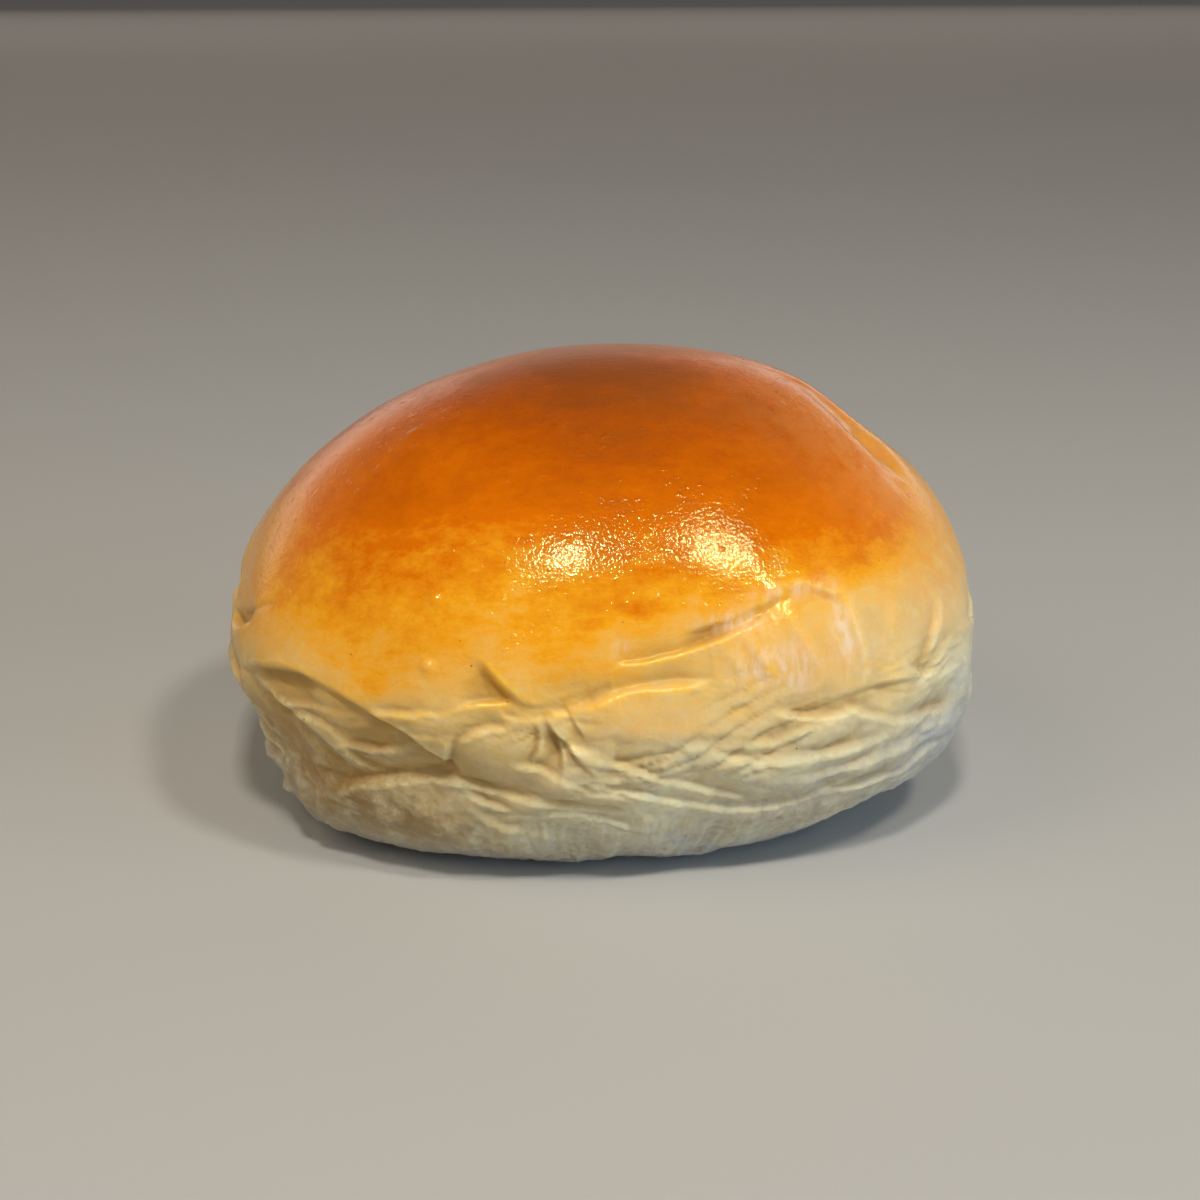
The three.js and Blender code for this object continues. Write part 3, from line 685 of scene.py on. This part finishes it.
def ring_faces(rises, counts):
    """Triangles between neighbouring rings, where the upper ring has as many points as the lower or half
    as many, then the fans of the crown and the foot."""
    starts = np.concatenate([[0], np.cumsum(counts)])
    faces = []
    for k in range(len(rises) - 1):
        low, high, ratio = starts[k], starts[k + 1], counts[k] // counts[k + 1]
        i = np.arange(counts[k + 1])
        here, after = high + i, high + (i + 1) % counts[k + 1]
        lower = [low + (i * ratio + j) % counts[k] for j in range(ratio + 1)]
        faces += [np.stack([lower[j], lower[j + 1], here], -1) for j in range(ratio)]
        faces.append(np.stack([lower[ratio], after, here], -1))
    total = starts[-1]
    last = starts[-2] + np.arange(counts[-1])
    after = starts[-2] + (np.arange(counts[-1]) + 1) % counts[-1]
    faces.append(np.stack([last, after, np.full(counts[-1], total)], -1))
    first = np.arange(counts[0])
    faces.append(np.stack([(first + 1) % counts[0], first, np.full(counts[0], total + 1)], -1))
    return np.concatenate(faces)


def make_mesh(name, points, faces, fields):
    """A smooth mesh from arrays of points in millimetres and triangles, with a value field for each name."""
    mesh = bpy.data.meshes.new(name)
    mesh.vertices.add(len(points))
    mesh.vertices.foreach_set("co", (points * MM).astype(np.float32).ravel())
    mesh.loops.add(faces.size)
    mesh.loops.foreach_set("vertex_index", faces.astype(np.int32).ravel())
    mesh.polygons.add(len(faces))
    mesh.polygons.foreach_set("loop_start", np.arange(0, faces.size, 3, dtype=np.int32))
    mesh.update(calc_edges=True)
    mesh.validate()
    mesh.shade_smooth()
    for field, values in fields.items():
        mesh.attributes.new(field, "FLOAT", "POINT").data.foreach_set("value", values.astype(np.float32))
    piece = bpy.data.objects.new(name, mesh)
    bpy.context.scene.collection.objects.link(piece)
    return piece


def skin():
    """The whole skin: form plus relief along the form's normal, as points, triangles and value fields."""
    rises, counts = ring_layout()
    rise = np.repeat(rises, counts)
    share = np.concatenate([np.arange(n) / n for n in counts])
    azimuth = 2 * math.pi * share - FRONT_CROWDING * np.cos(2 * math.pi * share)
    height, crease, crest = relief(azimuth, rise)
    points = form_point(azimuth, rise) + form_normal(azimuth, rise) * height[:, None]
    brown = browning(azimuth, rise)
    crown_height, _, _ = relief(np.zeros(1), np.full(1, CROWN_RISE))
    crown = [CROWN_SHIFT[0], CROWN_SHIFT[1], HEIGHT + crown_height[0]]
    points = np.concatenate([points, [crown, [FOOT_SHIFT[0], FOOT_SHIFT[1], 0]]])
    fields = {
        "browning": np.append(brown, [brown[-1], brown[0]]),
        # Where shade is painted into the creases.
        "crease": np.append(crease, [0, 0]),
        # Crest lines of the lips: glossier, and painted with a highlight.
        "crest": np.append(crest, [0, 0]),
        # Where shade is painted low down.
        "stain": np.append(patch_share(azimuth, rise, PAINTED_SHADES), [0, 0]),
        "tan": np.append(patch_share(azimuth, rise, TANS), [0, 0]),
        # Where pale reflections are painted.
        "sheen": np.append(patch_share(azimuth, rise, SHEENS), [0, 0]),
    }
    return points, ring_faces(rises, counts), fields


class Shade:
    """A socket of a material: expressions on it add Math nodes, and node adds any other kind."""

    def __init__(self, tree, socket=None):
        self.tree = tree
        self.socket = socket

    def node(self, kind, settings=None, sockets=None, output=0):
        """Adds a node of a kind, sets its settings, then fills its sockets, and gives one output."""
        made = self.tree.nodes.new(kind)
        for name, value in (settings or {}).items():
            if name == "stops":
                self.fill_ramp(made.color_ramp, value)
            else:
                setattr(made, name, value)
        for name, value in (sockets or {}).items():
            if isinstance(value, Shade):
                self.tree.links.new(value.socket, made.inputs[name])
            else:
                made.inputs[name].default_value = value
        return Shade(self.tree, made.outputs[output] if made.outputs else None)

    @staticmethod
    def fill_ramp(ramp, stops):
        while len(ramp.elements) < len(stops):
            ramp.elements.new(0.5)
        for element, (position, colour) in zip(ramp.elements, stops, strict=True):
            element.position = position
            element.color = colour

    def math(self, operation, *values):
        return self.node("ShaderNodeMath", {"operation": operation}, dict(enumerate(values)))

    def __add__(self, other):
        return self.math("ADD", self, other)

    def __sub__(self, other):
        return self.math("SUBTRACT", self, other)

    def __rsub__(self, other):
        return self.math("SUBTRACT", other, self)

    def __mul__(self, other):
        return self.math("MULTIPLY", self, other)

    __radd__ = __add__
    __rmul__ = __mul__

    def between(self, low, high, low_value=0.0, high_value=1.0):
        """This value taken from one range to another, smoothly and held at the ends."""
        sockets = {0: self, 1: low, 2: high, 3: low_value, 4: high_value}
        return self.node("ShaderNodeMapRange", {"interpolation_type": "SMOOTHSTEP"}, sockets)

    def mixed(self, share, colour):
        """This colour with a share of another."""
        return self.node("ShaderNodeMix", {"data_type": "RGBA"}, {0: share, 6: self, 7: colour}, 2)

    def field(self, name):
        return self.node("ShaderNodeAttribute", {"attribute_name": name}, {}, "Fac")

    def noise(self, place, size, detail=2.0, roughness=0.5):
        """Noise of 0 to 1 whose lumps are about this many millimetres across."""
        sockets = {"Vector": place, "Scale": 1 / (size * MM), "Detail": detail, "Roughness": roughness}
        return self.node("ShaderNodeTexNoise", {}, sockets)

    def weighted_noise(self, place, kind):
        """Noise given as size, detail, roughness and weight."""
        size, detail, roughness, weight = kind
        return self.noise(place, size, detail, roughness) * weight

    def patchy(self, place, kind):
        """Noise given as size, detail, roughness and the range of it that is stretched to 0 to 1."""
        size, detail, roughness, low, high = kind
        return self.noise(place, size, detail, roughness).between(low, high)


def empty_tree(owner):
    """Clears the nodes of a material or a world, and gives a start for new ones."""
    owner.use_nodes = True
    owner.node_tree.nodes.clear()
    return Shade(owner.node_tree)


def baked_colour(baked, colours):
    """The crust's colour by how far it is baked."""
    lowest, highest = CRUST_STEPS[0][0], CRUST_STEPS[-1][0]
    stops = []
    for step, name in CRUST_STEPS:
        stops.append(((step - lowest) / (highest - lowest), (*getattr(colours, name), 1)))
    scaled = baked.node("ShaderNodeMapRange", {}, {0: baked, 1: lowest, 2: highest})
    return baked.node("ShaderNodeValToRGB", {"stops": stops}, {0: scaled})


def crust_colour(start, place, upright, baked, crest, colours):
    """The baked colour with blotches, tan and specks over it, and painted light: shade low down and in the
    creases of the folds, highlights along the lips, and pale reflections on the tight skin.
    """
    colour = baked_colour(baked, colours)
    bare = baked.between(*BARE)
    blotches = start.patchy(place, BLOTCHES) * BLOTCH_SHARE
    colour = colour.mixed(blotches * bare, (*colours.stain, 1))
    # Painted shade: the lower skin darker and browner in patches, mostly on the left.
    stain = start.field("stain") * start.patchy(place, PATCHY_SHADE)
    colour = colour.mixed(stain, (*colours.ochre_shade, 1))
    # Painted shade: the creases of the folds darker and browner by their depth.
    crease_shade = start.field("crease").between(0.0, -1.0)
    colour = colour.mixed(crease_shade * CREASE_SHADE_SHARE, (*colours.crease, 1))
    gilt = baked.between(*GILT)
    # Pale line along the crests of the lips on bare skin: paler stretched skin with a painted highlight.
    colour = colour.mixed(crest * (1 - gilt) * LIP_HIGHLIGHT_SHARE, (*colours.lip, 1))
    # Painted highlight: a bright golden line along the crests of the lips that the glaze reaches.
    colour = colour.mixed(crest * gilt * GILDED_HIGHLIGHT_SHARE, (*colours.gilded_highlight, 1))
    tan = start.field("tan") * start.patchy(place, PATCHY_TAN)
    colour = colour.mixed(tan * TAN_SHARE, (*colours.tan, 1))
    # Painted reflection: pale pinkish streaks on the tight skin, in the colour.
    sheen = start.field("sheen") * start.patchy(upright, PATCHY_SHEEN)
    colour = colour.mixed(sheen * SHEEN_SHARE, (*colours.sheen, 1))
    for spacing, largest, strength in SPECKS:
        cells = {"Vector": place, "Scale": 1 / (spacing * MM), "Randomness": 1.0}
        distance = start.node("ShaderNodeTexVoronoi", {}, cells, "Distance")
        size = start.noise(place, 0.8 * spacing).between(*SPECK_NOISE, 0.0, largest)
        colour = colour.mixed((size - distance).between(0.0, SPECK_EDGE, 0.0, strength), (*colours.speck, 1))
    return colour


def crust_bump(start, place, drawn_out, upright, brown, glaze):
    """Fine relief: pebbles, beads and streaks in the glaze, crumple where it is bare, ridges on the foot."""
    pebble = start.weighted_noise(place, PEBBLE) * glaze
    beads = start.patchy(place, BEADS) * glaze * BEAD_HEIGHT
    streaks = start.weighted_noise(drawn_out, STREAKS) * glaze
    ridges = start.weighted_noise(upright, RIDGES) * brown.between(*ON_FOOT)
    crumple = (start.weighted_noise(place, CRUMPLE) + ridges) * (1 - glaze)
    height = pebble + crumple + beads + streaks + start.weighted_noise(place, GRAIN)
    return start.node("ShaderNodeBump", {}, {"Strength": 1.0, "Distance": BUMP_STEP, "Height": height})


def crust_material(colours):
    """Egg-washed crust: brown glaze on the crown, through gold to matt cream skin on the side."""
    material = bpy.data.materials.new("glazed_crust")
    start = empty_tree(material)
    place = start.node("ShaderNodeTexCoord", {}, {}, "Object")
    drawn_out = start.node("ShaderNodeMapping", {}, {"Vector": place, "Scale": DRAWN_OUT})
    upright = start.node("ShaderNodeMapping", {}, {"Vector": place, "Scale": UPRIGHT})

    brown = start.field("browning")
    mottle = start.weighted_noise(place, MOTTLE) + start.weighted_noise(drawn_out, DRAWN_MOTTLE)
    baked = brown + mottle - (MOTTLE[-1] + DRAWN_MOTTLE[-1]) / 2
    glaze = brown.between(*GLAZED)
    crest = start.field("crest") * start.patchy(place, PATCHY_CREST)
    dulled = baked.between(*DULLED, 0.0, BAKED_ROUGHNESS)
    polished = crest * CREST_POLISH * (1 - glaze)
    surface = start.node(
        "ShaderNodeBsdfPrincipled",
        {},
        {
            "Base Color": crust_colour(start, place, upright, baked, crest, colours),
            "Roughness": glaze.between(0.0, 1.0, BARE_ROUGHNESS, GLAZED_ROUGHNESS) + dulled - polished,
            "Specular IOR Level": 0.5,
            "Specular Tint": (0.85, 1.0, 0.5, 1.0),
            "Normal": crust_bump(start, place, drawn_out, upright, brown, glaze),
            "Subsurface Weight": 0.35,
            "Subsurface Radius": (1.0, 0.8, 0.5),
            "Subsurface Scale": 0.003,
        },
    )
    start.node("ShaderNodeOutputMaterial", {}, {"Surface": surface})
    return material


def floor_material(colour):
    """Plain pale floor with a faint unevenness."""
    material = bpy.data.materials.new("pale_floor")
    start = empty_tree(material)
    place = start.node("ShaderNodeTexCoord", {}, {}, "Object")
    surface = start.node(
        "ShaderNodeBsdfPrincipled",
        {},
        {
            "Base Color": (*colour, 1),
            "Roughness": start.noise(place, 400).between(0.0, 1.0, 0.6, 0.7),
            "Specular IOR Level": 0.2,
        },
    )
    start.node("ShaderNodeOutputMaterial", {}, {"Surface": surface})
    return material


def colour_property(name, description, default):
    return FloatVectorProperty(
        name=name, description=description, subtype="COLOR", size=3, min=0, max=1, default=default
    )


def amount_property(name, description, default):
    return FloatProperty(name=name, description=description, default=default, min=0)


class RollColours(bpy.types.PropertyGroup):
    crown: colour_property("Crown", "Darkest crust, on the top", (0.26, 0.06, 0.006))
    brown: colour_property("Brown", "Crust round the top", (0.44, 0.088, 0.0006))
    orange: colour_property("Orange", "Crust where the browning begins", (0.66, 0.16, 0.0006))
    gold: colour_property("Gold", "Glaze below the browning", (0.82, 0.37, 0.012))
    butter: colour_property("Butter", "Skin at the edge of the glaze", (0.8, 0.46, 0.1))
    cream: colour_property("Cream", "Skin just below the glaze", (0.76, 0.53, 0.2))
    pale: colour_property("Pale", "Skin that the glaze and the browning leave bare", (0.66, 0.61, 0.44))
    # Painted shade and cool light: darker and bluer than the pale skin above.
    foot: colour_property("Foot", "Skin at the foot", (0.42, 0.435, 0.46))
    # The blotches are the skin's own colour; the field that shares this name marks painted shade.
    stain: colour_property("Stain", "Browner blotches in the pale skin", (0.5, 0.38, 0.2))
    # Painted shade low down, mostly on the left, not a colour that the skin has.
    ochre_shade: colour_property("Ochre", "Stained skin low down, mostly on the left", (0.28, 0.17, 0.065))
    # Partly paler stretched skin, partly a painted highlight along the lips.
    lip: colour_property("Lip", "Stretched bare skin along the lips of the folds", (0.88, 0.82, 0.5))
    # Painted highlight along the glazed lips, brighter and yellower than the gold.
    gilded_highlight: colour_property("Gilded", "Lips of the folds that the glaze reaches", (0.92, 0.55, 0.06))
    tan: colour_property("Tan", "Thinly glazed crust, mostly on the right shoulder", (0.72, 0.29, 0.075))
    # Painted reflection, not the skin's own colour or gloss.
    sheen: colour_property("Sheen", "Pale shine of tight skin", (0.86, 0.7, 0.6))
    # Painted shade in the creases of the folds, not a colour that the skin has.
    crease: colour_property("Crease", "Skin at the bottom of a fold", (0.45, 0.25, 0.06))
    speck: colour_property("Speck", "Small dark specks in the skin", (0.12, 0.04, 0.01))


class StageSettings(bpy.types.PropertyGroup):
    floor: colour_property("Floor", "Colour of the floor", (0.47, 0.49, 0.52))
    lamp_power: amount_property("Lamp power", "Power of the brighter of the two lamps in front", 2.2)
    sky: amount_property("Sky", "Brightness of the surroundings overhead", 0.04)
    horizon: amount_property("Horizon", "Brightness of the surroundings low down", 0.42)


class BREAD_OT_roll(bpy.types.Operator):
    """Makes the roll's skin over its solid, with its crust"""

    bl_idname = "bread.roll"
    bl_label = "Roll"

    def execute(self, context):
        points, faces, fields = skin()
        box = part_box(NODE)
        middle = np.array([*((box[0] + box[1]) / 2)]) / MM
        shift = middle - (points.min(0) + points.max(0)) / 2
        shift[2] = 0
        roll = make_mesh("roll_skin", points + shift, faces, fields)
        roll.data.materials.append(crust_material(context.scene.roll_colours))
        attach(roll, "root")
        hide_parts(NODE)
        return {"FINISHED"}


def aim(thing, azimuth, elevation, distance):
    """Puts a lamp or the camera at an azimuth from the front and an elevation, facing the point looked at."""
    a, e = math.radians(azimuth), math.radians(elevation)
    back = Vector((math.sin(a) * math.cos(e), -math.cos(a) * math.cos(e), math.sin(e)))
    thing.location = Vector((0, 0, VIEW_HEIGHT * MM)) + back * distance
    thing.rotation_euler = back.to_track_quat("Z", "Y").to_euler()
    bpy.context.scene.collection.objects.link(thing)


def area_light(name, azimuth, elevation, distance, width, height, power, colour, mirrored=True):
    """A rectangular light. One that isn't mirrored shows in no gloss."""
    data = bpy.data.lights.new(name, "AREA")
    data.shape = "RECTANGLE"
    data.size = width
    data.size_y = height
    data.energy = power
    data.color = colour
    light = bpy.data.objects.new(name, data)
    light.visible_glossy = mirrored
    aim(light, azimuth, elevation, distance)


def surroundings(sky, horizon):
    """A dim world whose brightness falls off smoothly from the horizon up."""
    world = bpy.data.worlds.new("surroundings")
    start = empty_tree(world)
    heading = start.node("ShaderNodeTexCoord", {}, {}, "Generated")
    height = start.node("ShaderNodeSeparateXYZ", {}, {"Vector": heading}, "Z")
    glow = {"Color": SKY_COLOUR, "Strength": height.between(0.0, SKY_FROM, horizon, sky)}
    background = start.node("ShaderNodeBackground", {}, glow)
    start.node("ShaderNodeOutputWorld", {}, {"Surface": background})
    return world


class BREAD_OT_stage(bpy.types.Operator):
    """Makes the pale floor, the lights, the surroundings and the camera"""

    bl_idname = "bread.stage"
    bl_label = "Stage"

    def execute(self, context):
        scene = context.scene
        settings = scene.roll_stage

        half = FLOOR_HALF / MM
        corners = np.array([[-half, -half, 0], [half, -half, 0], [half, half, 0], [-half, half, 0]])
        floor = make_mesh("floor", corners, np.array([[0, 1, 2], [0, 2, 3]]), {})
        floor.data.materials.append(floor_material(settings.floor))

        for name, (azimuth, elevation, share) in LAMPS.items():
            power = share * settings.lamp_power
            area_light(name, azimuth, elevation, LAMP_DISTANCE, LAMP_SIZE, LAMP_SIZE, power, LAMP_COLOUR)
        for name, light in SOFT_LIGHTS.items():
            area_light(name, *light)
        scene.world = surroundings(settings.sky, settings.horizon)

        camera_data = bpy.data.cameras.new("camera")
        camera_data.sensor_width = SENSOR
        camera_data.lens = SENSOR * PIXELS_PER_MM * VIEW_DISTANCE / FRAME_PIXELS
        camera = bpy.data.objects.new("camera", camera_data)
        aim(camera, VIEW_AZIMUTH, VIEW_ELEVATION, VIEW_DISTANCE * MM)
        scene.camera = camera
        scene.view_settings.view_transform = "Standard"
        return {"FINISHED"}


class BREAD_PT_panel(bpy.types.Panel):
    bl_label = "Bread Roll"
    bl_idname = "BREAD_PT_panel"
    bl_space_type = "VIEW_3D"
    bl_region_type = "UI"
    bl_category = "Bread Roll"

    def draw(self, context):
        layout = self.layout
        for group in (context.scene.roll_colours, context.scene.roll_stage):
            for name in group.bl_rna.properties.keys():
                if name not in ("rna_type", "name"):
                    layout.prop(group, name)
        for operator in OPERATORS:
            layout.operator(operator.bl_idname)


OPERATORS = (BREAD_OT_roll, BREAD_OT_stage)
CLASSES = (RollColours, StageSettings, *OPERATORS, BREAD_PT_panel)


def register():
    for one in CLASSES:
        bpy.utils.register_class(one)
    bpy.types.Scene.roll_colours = PointerProperty(type=RollColours)
    bpy.types.Scene.roll_stage = PointerProperty(type=StageSettings)


def unregister():
    del bpy.types.Scene.roll_stage
    del bpy.types.Scene.roll_colours
    for one in reversed(CLASSES):
        bpy.utils.unregister_class(one)


def main():
    register()
    bpy.ops.bread.roll()
    bpy.ops.bread.stage()


if __name__ == "__main__":
    main()
